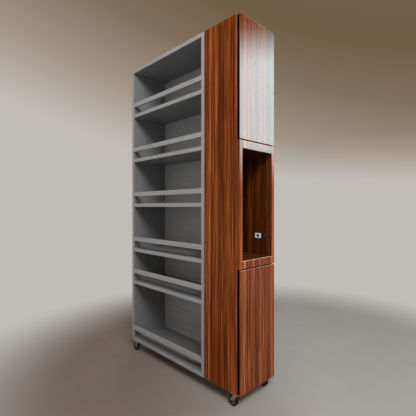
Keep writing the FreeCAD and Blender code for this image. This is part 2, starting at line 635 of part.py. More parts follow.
# --------------------------------------------------------------------- casters
PLATE_UNDERSIDE = f"({DECK} - dims.plate_thick)"
RACE_UNDERSIDE = f"({PLATE_UNDERSIDE} - dims.race_tall)"
CROWN_TOP = f"({RACE_UNDERSIDE} - dims.swivel_gap)"
CROWN_UNDERSIDE = f"({CROWN_TOP} - dims.fork_thick)"
AXLE_Z = "(dims.wheel_dia / 2)"


def caster_plate(corner, x, y):
    """Top plate, swivel race and riveted king pin."""
    plate = block(
        f"{corner}_plate_blank",
        (f"({x} - dims.plate_long / 2)", f"({x} + dims.plate_long / 2)"),
        (f"({y} - dims.plate_wide / 2)", f"({y} + dims.plate_wide / 2)"), (PLATE_UNDERSIDE, DECK))
    race = rod(f"{corner}_race", "dims.race_dia", "dims.race_tall", x, y, RACE_UNDERSIDE)
    shank = rod(f"{corner}_king_pin", "dims.king_dia",
                "dims.race_tall + dims.fork_thick + 2 * dims.swivel_gap", x, y,
                f"{CROWN_UNDERSIDE} - dims.swivel_gap")
    head = rod(f"{corner}_king_head", "dims.king_head_dia", "dims.king_head_tall", x, y,
               f"{CROWN_UNDERSIDE} - dims.swivel_gap - dims.king_head_tall")
    return fuse(f"{corner}_plate_solid", [plate, race, shank, head])


def caster_fork(corner, x, y):
    """A pressed fork: a round crown under the race, and two cheeks that trail to the axle."""
    crown = rod(f"{corner}_crown", "dims.crown_dia", "dims.fork_thick", x, y, CROWN_UNDERSIDE)
    pieces = [crown]
    axle_x = f"({x} - dims.trail)"
    half = "(dims.fork_inside / 2)"
    for side, inner_y in (("front", f"({y} - {half} - dims.fork_thick)"), ("rear", f"({y} + {half})")):
        body = doc.addObject("PartDesign::Body", f"{corner}_{side}_cheek")
        shoulder = "(dims.crown_dia * 0.3)"
        foot = "(dims.fork_foot_dia / 2)"
        corners = [
            (f"0 - {shoulder}", CROWN_TOP), (shoulder, CROWN_TOP), (shoulder, f"{CROWN_TOP} - {foot}"),
            (f"{foot} - dims.trail", AXLE_Z), (f"0 - {foot} - dims.trail", AXLE_Z),
            (f"0 - {shoulder}", f"{CROWN_TOP} - {foot}"),
        ]
        sketch = outline(body, f"{corner}_{side}_cheek_outline", "XZ_Plane", corners)
        pad(body, f"{corner}_{side}_cheek_sheet", sketch, "dims.fork_thick", reverse=True)
        bind(body, {"Placement.Base.x": x, "Placement.Base.y": inner_y})
        foot_disc = rod(f"{corner}_{side}_foot", "dims.fork_foot_dia", "dims.fork_thick",
                        axle_x, inner_y, AXLE_Z, ALONG_Y)
        pieces += [body, foot_disc]
    solid = fuse(f"{corner}_fork_solid", pieces)
    span = "(dims.fork_inside + 2 * dims.fork_thick)"
    king_hole = rod(f"{corner}_king_hole", "(dims.king_dia + 2 * dims.running_gap)", "dims.fork_thick",
                    x, y, CROWN_UNDERSIDE)
    axle_hole = rod(f"{corner}_axle_hole", "dims.axle_dia", span, axle_x, f"{y} - {span} / 2", AXLE_Z,
                    ALONG_Y)
    node(cut(f"{corner}_fork", solid, fuse(f"{corner}_fork_holes", [king_hole, axle_hole])),
         f"{corner}_fork")


def caster_axle(corner, x, y):
    """Axle bolt with a round head at the front cheek and a nut at the rear one."""
    axle_x = f"({x} - dims.trail)"
    half_span = "(dims.fork_inside / 2 + dims.fork_thick)"
    shank = rod(f"{corner}_axle_shank", "dims.axle_dia", f"2 * {half_span}", axle_x,
                f"{y} - {half_span}", AXLE_Z, ALONG_Y)
    head = rod(f"{corner}_axle_head", "dims.axle_head_dia", "dims.axle_head_tall", axle_x,
               f"{y} - {half_span} - dims.axle_head_tall", AXLE_Z, ALONG_Y)
    nut = doc.addObject("Part::Prism", f"{corner}_axle_nut")
    nut.Polygon = 6
    bind(nut, {"Circumradius": "dims.axle_head_dia / 2", "Height": "dims.axle_head_tall"})
    place(nut, axle_x, f"{y} + {half_span}", AXLE_Z, ALONG_Y)
    node(fuse(f"{corner}_axle", [shank, head, nut]), f"{corner}_axle")


def caster_wheel(corner, x, y):
    """Solid tyre with rounded shoulders on a dished hub."""
    tread = "(dims.wheel_dia / 2)"
    rim = "(dims.rim_dia / 2)"
    shoulder = "(dims.tyre_wide / 8)"
    half_tyre = "(dims.tyre_wide / 2)"
    half_rim = "(dims.rim_wide / 2)"
    half_hub = "(dims.hub_wide / 2)"
    boss = "(dims.hub_dia / 2)"
    bore = "(dims.axle_dia / 2 + dims.running_gap)"
    web = f"({half_rim} * 0.6)"
    web_edge = f"({rim} * 0.82)"
    tyre = turned(f"{corner}_tyre_ring", [
        (rim, f"0 - {half_rim}"), (f"{rim} + {shoulder}", f"0 - {half_tyre}"),
        (f"{tread} - {shoulder}", f"0 - {half_tyre}"), (tread, f"{shoulder} - {half_tyre}"),
        (tread, f"{half_tyre} - {shoulder}"), (f"{tread} - {shoulder}", half_tyre),
        (f"{rim} + {shoulder}", half_tyre), (rim, half_rim),
    ])
    hub = turned(f"{corner}_hub_disc", [
        (bore, f"0 - {half_hub}"), (boss, f"0 - {half_hub}"), (boss, f"0 - {web}"),
        (web_edge, f"0 - {web}"), (web_edge, f"0 - {half_rim}"), (rim, f"0 - {half_rim}"),
        (rim, half_rim), (web_edge, half_rim), (web_edge, web), (boss, web), (boss, half_hub),
        (bore, half_hub),
    ])
    for body, label in ((tyre, f"{corner}_tyre"), (hub, f"{corner}_hub")):
        place(body, f"{x} - dims.trail", y, AXLE_Z, ALONG_Y)
        node(body, label)


# -------------------------------------------------------------------- assembly
screws = assembly_screws()
dowels = rail_dowels()
bolts = module_bolts()
feet = caster_screws()
shelf_module(screws, dowels, bolts, feet)

cross_dowels = tower_dowels()
pins = shelf_pins()
outlet()
grommet()
outlet_pocket = block(
    "outlet_pocket",
    (f"({RIGHT} - dims.outlet_back - dims.outlet_box_wide / 2)",
     f"({RIGHT} - dims.outlet_back + dims.outlet_box_wide / 2)"),
    (WALL_REAR, f"({WALL_REAR} + dims.outlet_box_deep)"),
    (f"({OUTLET_Z} - dims.outlet_box_tall / 2)", f"({OUTLET_Z} + dims.outlet_box_tall / 2)"))
tower_carcass(cross_dowels, pins, bolts, feet, [outlet_pocket, grommet_hole()])

for door_name in DOORS:
    door_panel(door_name)
hinges()
catches()

plates = []
for corner_name, (swivel_x, swivel_y) in SWIVELS.items():
    plates.append(caster_plate(corner_name, swivel_x, swivel_y))
    caster_fork(corner_name, swivel_x, swivel_y)
    caster_axle(corner_name, swivel_x, swivel_y)
    caster_wheel(corner_name, swivel_x, swivel_y)
node(cut("plates_drilled", fuse("plate_set", plates), feet), "caster_plates")

doc.recompute()

failed = [item.Name for item in doc.Objects if {"Invalid", "Error"} & set(item.State)]
if failed:
    raise RuntimeError("failed objects: " + ", ".join(failed))
for item in nodes:
    if item.Shape.isNull() or not item.Shape.isValid():
        raise RuntimeError("bad shape: " + item.Label)

os.makedirs("parts", exist_ok=True)
for item in nodes:
    item.Shape.exportStep(os.path.join("parts", item.Label + ".step"))
    print(f"{item.Label:28s} solids {len(item.Shape.Solids):3d}  volume {item.Shape.Volume / 1000:10.1f} cm3")
print(len(nodes), "nodes")
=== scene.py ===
"""Looks of the rolling pantry cart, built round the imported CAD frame. Metres, +Z up.

The open shelves face -Y, the doors face +X. Boards, hinges and forks are redrawn from their CAD nodes
with softened edges. Screws, pins, tyres and hubs are turned anew where their CAD solids stand.
"""
import json
import math

import bmesh
import bpy
from mathutils import Matrix, Vector


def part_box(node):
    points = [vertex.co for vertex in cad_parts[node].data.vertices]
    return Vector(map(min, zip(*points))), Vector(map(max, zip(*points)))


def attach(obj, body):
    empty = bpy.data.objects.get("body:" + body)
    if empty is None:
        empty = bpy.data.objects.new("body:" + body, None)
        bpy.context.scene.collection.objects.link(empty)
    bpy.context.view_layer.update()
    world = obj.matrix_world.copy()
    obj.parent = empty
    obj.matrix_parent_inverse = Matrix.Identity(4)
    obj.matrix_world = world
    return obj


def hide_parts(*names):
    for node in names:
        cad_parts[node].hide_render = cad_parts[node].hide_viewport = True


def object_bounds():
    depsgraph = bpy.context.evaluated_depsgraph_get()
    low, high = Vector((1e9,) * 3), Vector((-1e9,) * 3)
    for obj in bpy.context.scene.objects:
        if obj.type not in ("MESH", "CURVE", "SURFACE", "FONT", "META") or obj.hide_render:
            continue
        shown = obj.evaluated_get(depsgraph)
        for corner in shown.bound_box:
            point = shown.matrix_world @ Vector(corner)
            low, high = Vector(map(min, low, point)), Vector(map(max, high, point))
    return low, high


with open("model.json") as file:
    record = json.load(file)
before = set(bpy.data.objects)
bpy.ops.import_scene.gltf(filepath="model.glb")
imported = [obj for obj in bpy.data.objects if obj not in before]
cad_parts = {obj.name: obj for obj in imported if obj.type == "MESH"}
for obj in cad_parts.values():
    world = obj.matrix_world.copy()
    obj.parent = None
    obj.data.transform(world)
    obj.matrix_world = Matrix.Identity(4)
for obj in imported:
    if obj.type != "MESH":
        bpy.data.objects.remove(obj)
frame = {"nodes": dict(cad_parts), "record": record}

cad_low, cad_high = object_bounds()
NODES = frame["nodes"]
BODY_OF = {name: body for body, names in frame["record"]["behaviour"]["bodies"].items() for name in names}
MM = 0.001
X, Y, Z = Vector((1, 0, 0)), Vector((0, 1, 0)), Vector((0, 0, 1))


# ---------------------------------------------------------------- the camera
CAMERA_HEIGHT = 1.1287          # above the floor
CAMERA_BACK = 1.780             # forward distance to the nearest upright edge
CAMERA_ASIDE = 0.1739           # that edge to the right of the line of sight
LOOK = Vector((-0.7129, 0.7013, 0.0))
VIEW_RIGHT = Vector((LOOK.y, -LOOK.x, 0.0))
LENS = 27.99
SENSOR = 36.0
HORIZON_RISE = 0.0025           # the horizon above the middle, as a share of the width
SET_RADIUS = 60.0               # reach of the floor and of the view


def make_camera():
    near_edge = Vector((cad_high.x, cad_low.y, 0.0))
    place = near_edge - LOOK * CAMERA_BACK - VIEW_RIGHT * CAMERA_ASIDE
    place.z = CAMERA_HEIGHT
    data = bpy.data.cameras.new("camera")
    data.lens = LENS
    data.sensor_width = SENSOR
    data.shift_y = -HORIZON_RISE
    data.clip_end = SET_RADIUS
    camera = bpy.data.objects.new("camera", data)
    camera.location = place
    camera.rotation_euler = LOOK.to_track_quat("-Z", "Y").to_euler()
    bpy.context.scene.collection.objects.link(camera)
    bpy.context.scene.camera = camera


make_camera()


# ----------------------------------------------------------------- node helpers
class Nodes:
    """A short way to lay out a node tree and join it."""

    def __init__(self, tree):
        self.tree = tree

    def add(self, kind, **settings):
        made = self.tree.nodes.new(kind)
        for key, setting in settings.items():
            setattr(made, key, setting)
        return made

    def join(self, source, target):
        self.tree.links.new(source, target)

    def feed(self, socket, item):
        """Link a node's output into a socket, or set the socket to a constant."""
        if isinstance(item, bpy.types.NodeSocket):
            self.join(item, socket)
        else:
            socket.default_value = item

    def math(self, operation, *terms, **settings):
        made = self.add("ShaderNodeMath", operation=operation, **settings)
        for socket, term in zip(made.inputs, terms):
            self.feed(socket, term)
        return made.outputs[0]

    def vector_math(self, operation, *terms, output="Vector"):
        made = self.add("ShaderNodeVectorMath", operation=operation)
        for socket, term in zip(made.inputs, terms):
            self.feed(socket, term)
        return made.outputs[output]

    def span(self, source, low, high):
        """Spread a 0..1 value over low..high."""
        made = self.add("ShaderNodeMapRange")
        self.join(source, made.inputs["Value"])
        made.inputs["To Min"].default_value = low
        made.inputs["To Max"].default_value = high
        return made.outputs["Result"]

    def eased(self, source, start, end):
        """0 up to start, 1 from end on, and an S-curve between them."""
        made = self.add("ShaderNodeMapRange", interpolation_type="SMOOTHSTEP")
        self.join(source, made.inputs["Value"])
        made.inputs["From Min"].default_value = start
        made.inputs["From Max"].default_value = end
        return made.outputs["Result"]

    def ramp(self, source, stops, interpolation="EASE"):
        """Colours or grey levels at their places along a 0..1 value."""
        made = self.add("ShaderNodeValToRGB")
        made.color_ramp.interpolation = interpolation
        elements = made.color_ramp.elements
        while len(elements) < len(stops):
            elements.new(0.5)
        for element, (place, colour) in zip(elements, stops):
            element.position = place
            level = colour if isinstance(colour, tuple) else (colour,) * 3
            element.color = (*level, 1.0)
        self.join(source, made.inputs["Fac"])
        return made.outputs["Color"]


class Finish(Nodes):
    """The nodes of one material, laid out round its Principled shader."""

    SOCKETS = {"color": "Base Color", "rough": "Roughness", "metal": "Metallic", "ior": "IOR",
               "coat": "Coat Weight", "coat_rough": "Coat Roughness", "coat_ior": "Coat IOR",
               "spec": "Specular IOR Level", "glow_color": "Emission Color", "glow": "Emission Strength"}

    def __init__(self, name):
        self.material = bpy.data.materials.new(name)
        self.material.use_nodes = True
        super().__init__(self.material.node_tree)
        self.shader = self.tree.nodes["Principled BSDF"]
        self.object_place = self.add("ShaderNodeTexCoord").outputs["Object"]

    def noise(self, place, scale, detail, roughness, output="Fac"):
        made = self.add("ShaderNodeTexNoise")
        self.join(place, made.inputs["Vector"])
        made.inputs["Scale"].default_value = scale
        made.inputs["Detail"].default_value = detail
        made.inputs["Roughness"].default_value = roughness
        return made.outputs[output]

    def mix(self, share, first, second, blend="MIX"):
        made = self.add("ShaderNodeMix", data_type="RGBA", blend_type=blend)
        self.feed(made.inputs[0], share)
        self.feed(made.inputs[6], first if not isinstance(first, tuple) else (*first, 1.0))
        self.feed(made.inputs[7], second if not isinstance(second, tuple) else (*second, 1.0))
        return made.outputs[2]

    def bump(self, height, strength, distance):
        made = self.add("ShaderNodeBump")
        made.inputs["Strength"].default_value = strength
        made.inputs["Distance"].default_value = distance
        self.join(height, made.inputs["Height"])
        self.join(made.outputs["Normal"], self.shader.inputs["Normal"])

    def set(self, **values):
        for key, item in values.items():
            item = (*item, 1.0) if isinstance(item, tuple) else item
            self.feed(self.shader.inputs[self.SOCKETS[key]], item)
        return self.material


# ------------------------------------------------------------------- materials
def stretched(share):
    """Scales that draw a pattern out along each axis in turn."""
    return {"x": (share, 1.0, 1.0), "y": (1.0, share, 1.0), "z": (1.0, 1.0, share)}


ALONG = stretched(0.007)
BROKEN = stretched(0.015)
FIBRE = stretched(0.012)
PORE = stretched(0.03)

# Noise patterns: scale, detail, roughness.
DRIFT = (1.7, 2.0, 0.5)
BANDS = (30.0, 2.0, 0.5)
STRIPES = (95.0, 2.0, 0.6)
LINES = (180.0, 2.0, 0.6)
THREADS = (560.0, 3.0, 0.65)
PORES = (1100.0, 1.0, 0.5)
MELAMINE_STREAKS = (260.0, 4.0, 0.65)
MELAMINE_CLOUDS = (5.0, 2.0, 0.5)
MELAMINE_GRIT = (1800.0, 1.0, 0.5)
BRUSHING = (900.0, 3.0, 0.6)
SMUDGES = (60.0, 3.0, 0.6)
MOULD_GRIT = (2600.0, 2.0, 0.6)
MOULD_CLOUDS = (45.0, 3.0, 0.6)

DRIFT_ACROSS = 0.4              # the drift's scale across the grain
DRIFT_REACH = (0.008,) * 3      # how far it moves the stripes

# Tones along each pattern. Those after the first multiply it, each by its share.
BAND_TONES = [(0.34, (0.122, 0.024, 0.001)), (0.46, (0.176, 0.036, 0.004)),
              (0.56, (0.240, 0.056, 0.011)), (0.68, (0.320, 0.092, 0.027))]
STRIPE_TONES = [(0.34, (0.22, 0.15, 0.08)), (0.43, (0.66, 0.60, 0.48)), (0.50, 1.0),
                (0.64, (1.40, 1.48, 1.90))]
LINE_TONES = [(0.35, (0.20, 0.14, 0.08)), (0.43, (0.72, 0.67, 0.58)), (0.51, 1.04),
              (0.64, (1.76, 1.95, 2.70))]
THREAD_TONES = [(0.34, 0.52), (0.50, 1.0), (0.66, 1.50)]
PORE_TONES = [(0.28, 0.42), (0.38, 1.0)]
STRIPE_SHARE, LINE_SHARE, THREAD_SHARE, PORE_SHARE = 0.76, 0.74, 0.80, 0.80
# Pale tan mixed into rounded edges: edge wear, and painted highlight along the tops of edges.
PALE_WEAR_AND_HIGHLIGHT = (0.62, 0.44, 0.32)
RELIEF_OF_STREAKS = 0.6         # height of the streaks beside that of the pores or the grit

# Strength and depth of each surface's bumps, then its roughness from its low spots to its high ones.
WOOD_BUMP, MELAMINE_BUMP, METAL_BUMP = (0.22, 0.3 * MM), (0.18, 0.2 * MM), (0.12, 0.1 * MM)
PLASTIC_DEPTH = 0.2 * MM
WOOD_ROUGH, MELAMINE_ROUGH = (0.38, 0.55), (0.42, 0.56)
METAL_SPREAD, BRUSHED_EXTRA, PLASTIC_SPREAD = (0.8, 1.3), (0.0, 0.06), (0.85, 1.15)

MELAMINE_DARK = (0.86, 0.8772, 0.9116)
MELAMINE_LIGHT = (1.10, 1.111, 1.133)
CLOUD_TONES = [(0.35, 0.95), (0.65, 1.04)]
CLOUD_SHARE = 0.8
SMUDGED = [(0.35, 0.0), (0.7, 1.0)]
SMUDGE_TONE = 0.72
DUSTED = [(0.4, 0.0), (0.72, 1.0)]
DUST_TONE = 0.30


def striped_wood(name, grain, gloss, tone=1.0, pale=0.0):
    """Red-brown striped veneer under lacquer, its grain along one axis."""
    finish = Finish(name)
    slow = tuple(1.0 if part < 1.0 else DRIFT_ACROSS for part in ALONG[grain])
    drifting = finish.vector_math("MULTIPLY", finish.object_place, slow)
    drift = finish.noise(drifting, *DRIFT, output="Color")
    place = finish.vector_math("MULTIPLY_ADD", drift, DRIFT_REACH, finish.object_place)

    def pattern(scales, noise):
        return finish.noise(finish.vector_math("MULTIPLY", place, scales[grain]), *noise)

    threads = pattern(FIBRE, THREADS)
    pore_tone = finish.ramp(pattern(PORE, PORES), PORE_TONES)
    colour = finish.ramp(pattern(ALONG, BANDS), BAND_TONES)
    for share, layer in ((STRIPE_SHARE, finish.ramp(pattern(ALONG, STRIPES), STRIPE_TONES)),
                         (LINE_SHARE, finish.ramp(pattern(BROKEN, LINES), LINE_TONES)),
                         (THREAD_SHARE, finish.ramp(threads, THREAD_TONES)),
                         (PORE_SHARE, pore_tone)):
        colour = finish.mix(share, colour, layer, "MULTIPLY")
    # pale mixes in edge wear and painted highlight.
    colour = finish.mix(pale, colour, PALE_WEAR_AND_HIGHLIGHT)
    # tone scales the whole colour: above 1 it is painted light, below 1 painted shade.
    colour = finish.mix(1.0, colour, (tone,) * 3, "MULTIPLY")
    relief = finish.math("ADD", finish.math("MULTIPLY", threads, RELIEF_OF_STREAKS), pore_tone)
    finish.bump(relief, *WOOD_BUMP)
    return finish.set(color=colour, rough=finish.span(threads, *WOOD_ROUGH), ior=1.45, **gloss)


def grey_board(name, grain, tone):
    """Grey melamine with a fine, straight, pale grain."""
    finish = Finish(name)
    along = finish.vector_math("MULTIPLY", finish.object_place, ALONG[grain])
    streaks = finish.noise(along, *MELAMINE_STREAKS)
    clouds = finish.noise(finish.object_place, *MELAMINE_CLOUDS)
    dark, light = (tuple(tone * part for part in tint) for tint in (MELAMINE_DARK, MELAMINE_LIGHT))
    base = finish.ramp(streaks, [(0.32, dark), (0.68, light)])
    colour = finish.mix(CLOUD_SHARE, base, finish.ramp(clouds, CLOUD_TONES), "MULTIPLY")
    grit = finish.noise(finish.object_place, *MELAMINE_GRIT)
    relief = finish.math("ADD", finish.math("MULTIPLY", streaks, RELIEF_OF_STREAKS), grit)
    finish.bump(relief, *MELAMINE_BUMP)
    return finish.set(color=colour, rough=finish.span(streaks, *MELAMINE_ROUGH), ior=1.48)


def metal(name, colour, rough, grain="x"):
    """Plated steel with brushed streaks and faint smudges."""
    finish = Finish(name)
    along = finish.vector_math("MULTIPLY", finish.object_place, ALONG[grain])
    streaks = finish.noise(along, *BRUSHING)
    smudges = finish.noise(finish.object_place, *SMUDGES)
    dull = tuple(part * SMUDGE_TONE for part in colour)
    tone = finish.mix(finish.ramp(smudges, SMUDGED), colour, dull)
    finish.bump(streaks, *METAL_BUMP)
    least, most = (rough * share for share in METAL_SPREAD)
    roughness = finish.math("ADD", finish.span(smudges, least, most), finish.span(streaks, *BRUSHED_EXTRA))
    return finish.set(color=tone, rough=roughness, metal=1.0)


def plastic(name, colour, rough, bump=0.1, dust=0.0, spec=0.5):
    """Moulded plastic or rubber: fine grit, a little tone change and dust."""
    finish = Finish(name)
    grit = finish.noise(finish.object_place, *MOULD_GRIT)
    cloud = finish.noise(finish.object_place, *MOULD_CLOUDS)
    paler = tuple(part + (DUST_TONE - part) * dust for part in colour)
    tone = finish.mix(finish.ramp(cloud, DUSTED), colour, paler)
    finish.bump(grit, bump, PLASTIC_DEPTH)
    least, most = (rough * share for share in PLASTIC_SPREAD)
    return finish.set(color=tone, rough=finish.span(cloud, least, most), spec=spec)


SATIN = {"coat": 0.05, "coat_rough": 0.30, "coat_ior": 1.38, "spec": 0.07}
POLISHED = {"coat": 0.80, "coat_rough": 0.11, "coat_ior": 1.38, "spec": 0.0}
MIRROR = {**POLISHED, "coat": 1.0, "coat_ior": 1.75}
BRILLIANT = {**POLISHED, "coat": 1.0, "coat_ior": 1.58}

WOODS = {                       # grain, gloss, tone, and how far it is paled by edge wear and painted highlight. A tone above 1 is painted light, one below 1 painted shade.
    "wood_upright": ("z", SATIN),
    "wood_cross": ("y", SATIN),
    # The lower door's and the sill's polished faces: a lighter copy of the veneer, as painted light.
    "wood_door": ("z", POLISHED, 1.16),
    # The upper door's and the header's polished faces: a darker copy under a mirror coat, as painted shade.
    "wood_glossy": ("z", MIRROR, 0.66),
    # The side panels' front edges beside the niche: a much lighter copy, as painted light.
    "wood_stile": ("z", BRILLIANT, 1.55),
    # Near black: painted shadow in the finger bevels, on the carcass edges behind the doors and along the
    # bottom edges of the doors, sill and header.
    "wood_shadow": ("z", SATIN, 0.035),
    # Darker copies inside the tower, the niche and the cabinets, and on the lower door's top face under the
    # sill: painted shade.
    "wood_inner": ("z", SATIN, 0.42),
    "wood_inner_cross": ("y", SATIN, 0.42),
    # Rounded edges of the side panels, paled a little: edge wear and painted highlight.
    "wood_worn": ("z", SATIN, 1.15, 0.22),
    # Pale tops of the rounded edges of the doors, sill and header: painted highlight.
    "wood_door_worn": ("z", POLISHED, 1.45, 0.80),
}
BOARDS = {                      # grain, tone; one grey melamine, its tone set face by face as painted light and shade
    # Faces inside the bays: the darkest copies, as painted shade.
    "grey_upright": ("z", 0.17),
    "grey_long": ("x", 0.19),
    # The back panel's face into the bays: a lighter copy, as painted light.
    "grey_back": ("x", 0.35),
    "grey_outside": ("z", 0.26),
    # Front and rear edges and the rails: lighter copies, as painted light.
    "grey_edge_upright": ("z", 0.32),
    "grey_edge_long": ("x", 0.335),
    # Rounded edges, lighter still: edge wear and painted highlight.
    "grey_worn": ("x", 0.40),
    "beech": ("y", 0.4),
}
METALS = {                      # colour, roughness, direction of the brushing
    "zinc": ((0.72, 0.72, 0.70), 0.30),
    "nickel": ((0.66, 0.65, 0.62), 0.26, "z"),
    "bright_zinc": ((0.90, 0.90, 0.90), 0.34),
    "fork_steel": ((0.62, 0.62, 0.64), 0.27),
    "dark_steel": ((0.05, 0.048, 0.05), 0.38),
}
PLASTICS = {                    # colour, roughness, bump, dust, specular level
    "brown_plastic": ((0.07, 0.045, 0.03), 0.45),
    "white_plastic": ((0.92, 0.92, 0.90), 0.28, 0.05),
    "dark_plastic": ((0.03, 0.028, 0.028), 0.4),
    "black_rubber": ((0.018, 0.018, 0.018), 0.6, 0.2, 0.1),
    "tyre": ((0.004, 0.004, 0.005), 0.60, 0.3, 0.02, 0.22),
    "hub_grey": ((0.10, 0.10, 0.10), 0.42, 0.12, 0.1),
}
MATERIALS = {name: make(name, *looks)
             for make, table in ((striped_wood, WOODS), (grey_board, BOARDS), (metal, METALS),
                                 (plastic, PLASTICS))
             for name, looks in table.items()}


def finish_cad(material, *names):
    """Give CAD nodes a finish in all their material slots."""
    for name in names:
        mesh = NODES[name].data
        if not mesh.materials:
            mesh.materials.append(None)
        for index in range(len(mesh.materials)):
            mesh.materials[index] = MATERIALS[material]


# ----------------------------------------------------------------- mesh helpers
CAD_WELD = 1e-6                 # distance within which a CAD mesh's corners are one
WELD = 1e-7                     # the same for meshes drawn here
FLAT = math.radians(0.3)
SHARP = math.radians(32)
LARGE_FACE_WEIGHT = 90
ROUND_CREASE = 50.0             # degrees; wider than between the facets of a small cylinder


def link(name, mesh):
    made = bpy.data.objects.new(name, mesh)
    bpy.context.scene.collection.objects.link(made)
    return made


def as_piece(name, mesh, materials, body, replaced=()):
    """Turn a bmesh into a shaded piece that rides on a body."""
    data = bpy.data.meshes.new(name)
    mesh.to_mesh(data)
    mesh.free()
    for key in materials:
        data.materials.append(MATERIALS[key])
    piece = link(name, data)
    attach(piece, body)
    if replaced:
        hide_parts(*replaced)
    return piece


def welded_copy(node):
    mesh = bmesh.new()
    mesh.from_mesh(NODES[node].data)
    bmesh.ops.remove_doubles(mesh, verts=mesh.verts, dist=CAD_WELD)
    return mesh


def softened(node, radius, materials, choose=lambda face: 0, edges=None, segments=2, crease=35.0,
             shortest=0.0):
    """A copy of a CAD node with its edges rounded, standing for it on the same body.

    choose picks each flat face's material and edges, where given, each rounded edge's. Edges under
    the shortest length, such as the facets round a drilled hole, stay crisp."""
    mesh = welded_copy(node)
    bmesh.ops.dissolve_limit(mesh, angle_limit=FLAT, verts=mesh.verts, edges=mesh.edges)
    sharp = [edge for edge in mesh.edges
             if len(edge.link_faces) == 2 and edge.calc_face_angle(0.0) > math.radians(crease)
             and edge.calc_length() > shortest]
    for face in mesh.faces:
        face.material_index = choose(face)
    rounding = len(materials) if edges else -1
    bmesh.ops.bevel(mesh, geom=sharp, offset=radius, segments=segments, profile=0.5, affect="EDGES",
                    clamp_overlap=True, material=rounding)
    mesh.normal_update()
    for face in mesh.faces:
        face.smooth = True
        if face.material_index == rounding:
            face.material_index = edges(face)
    piece = as_piece(f"{node}_look", mesh, materials, BODY_OF[node], [node])
    weighted = piece.modifiers.new("weighted_normals", "WEIGHTED_NORMAL")
    weighted.keep_sharp = True
    weighted.weight = LARGE_FACE_WEIGHT


def islands(node):
    """The box of each separate solid in a CAD node, as (low, high) pairs in a steady order."""
    mesh = welded_copy(node)
    seen = set()
    boxes = []
    for start in mesh.verts:
        if start in seen:
            continue
        seen.add(start)
        queue = [start]
        island = []
        while queue:
            vertex = queue.pop()
            island.append(vertex.co.copy())
            for edge in vertex.link_edges:
                other = edge.other_vert(vertex)
                if other not in seen:
                    seen.add(other)
                    queue.append(other)
        low = Vector([min(place[axis] for place in island) for axis in range(3)])
        high = Vector([max(place[axis] for place in island) for axis in range(3)])
        boxes.append((low, high))
    mesh.free()
    return sorted(boxes, key=lambda box: tuple(round(part, 5) for part in box[0]))


def in_mm(**sizes):
    return {name: size * MM for name, size in sizes.items()}


def outline(*points):
    """Points given in millimetres: (radius, height)."""
    return [(radius * MM, height * MM) for radius, height in points]


def skin(mesh, rings, material=0):
    """Join each ring of corners to the next with faces. A ring of one corner closes an end."""
    for first, second in zip(rings, rings[1:]):
        steps = max(len(first), len(second))
        for step in range(steps):
            following = (step + 1) % steps
            corners = [first[step % len(first)], first[following % len(first)],
                       second[following % len(second)], second[step % len(second)]]
            face = mesh.faces.new(list(dict.fromkeys(corners)))
            face.smooth = True
            face.material_index = material


def round_shape(angle):
    return 1.0


def hexagon(angle):
    return math.cos(math.pi / 6) / math.cos(angle % (math.pi / 3) - math.pi / 6)


def cross(angle):
    """A core with four arms of full reach."""
    off_arm = abs((angle + math.pi / 4) % (math.pi / 2) - math.pi / 4)
    return 1.0 if off_arm < CROSS_ARM else CROSS_CORE


CROSS_ARM, CROSS_CORE = 0.14, 0.34              # an arm's half angle, and the core's share of the reach
RECESS_SHARE = {hexagon: 0.27, cross: 0.33}     # a recess's radius as a share of its head's diameter


def turn(mesh, place, axis, profile, segments=24, material=0):
    """Add a turned solid: profile is (radius, height, shape) from one end to the other along axis.

    A shape scales the radius by angle, which makes driver recesses. A zero radius closes an end."""
    turned_to = axis.to_track_quat("Z", "Y").to_matrix().to_4x4()
    frame_of_axis = Matrix.Translation(place) @ turned_to
    rings = []
    for radius, height, *shapes in profile:
        shape = shapes[0] if shapes else round_shape
        ring = []
        for step in range(segments if radius else 1):
            angle = 2.0 * math.pi * step / segments
            reach = radius * shape(angle)
            spot = Vector((reach * math.cos(angle), reach * math.sin(angle), height))
            ring.append(mesh.verts.new(frame_of_axis @ spot))
        rings.append(ring)
    skin(mesh, rings, material)


def screw(mesh, top, axis, head, head_tall, shank, length, drive=cross):
    """A screw with a driver recess: top is the middle of its head's face, axis points out of it."""
    rim = min(head_tall * 0.3, 0.5 * MM)
    well = head * RECESS_SHARE[drive]
    turn(mesh, top, axis, [
        (0.0, -head_tall * 0.75), (well * 0.8, -head_tall * 0.7, drive), (well, -head_tall * 0.12, drive),
        (well * 1.12, 0.0, drive), (head / 2 - rim, 0.0), (head / 2, -rim), (head / 2, -head_tall * 0.8),
        (shank / 2, -head_tall), (shank / 2, -length * 0.9), (shank * 0.1, -length), (0.0, -length)])


def hardware(name, mesh, materials, body, replaced=()):
    bmesh.ops.recalc_face_normals(mesh, faces=mesh.faces)
    piece = as_piece(name, mesh, materials, body, replaced)
    piece.data.set_sharp_from_angle(angle=SHARP)


# ------------------------------------------------------------------ the boards
EDGE_SOFTNESS = 0.8 * MM
RAIL_SOFTNESS = 1.2 * MM
DOOR_SOFTNESS = 1.2 * MM
SILL_SOFTNESS = 2.0 * MM
HOLE_FACET = 5.0 * MM           # longer than any facet round a drilled hole
HINGE_GAIN = 70.0 * MM          # longer than any edge round a hinge's gain
FACING = 0.7                    # a normal's part along an axis, for a face that looks that way
BEVELLED = 0.3                  # the same for the finger bevel, which looks two ways
ROUNDING = 0.2                  # the same for the rounded edges of a door
END_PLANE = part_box("shelf_end_panel")[0].x
TOP_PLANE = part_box("top_board")[1].z
DECK_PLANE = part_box("bottom_board")[0].z
CARCASS_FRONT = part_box("tower_top")[1].x

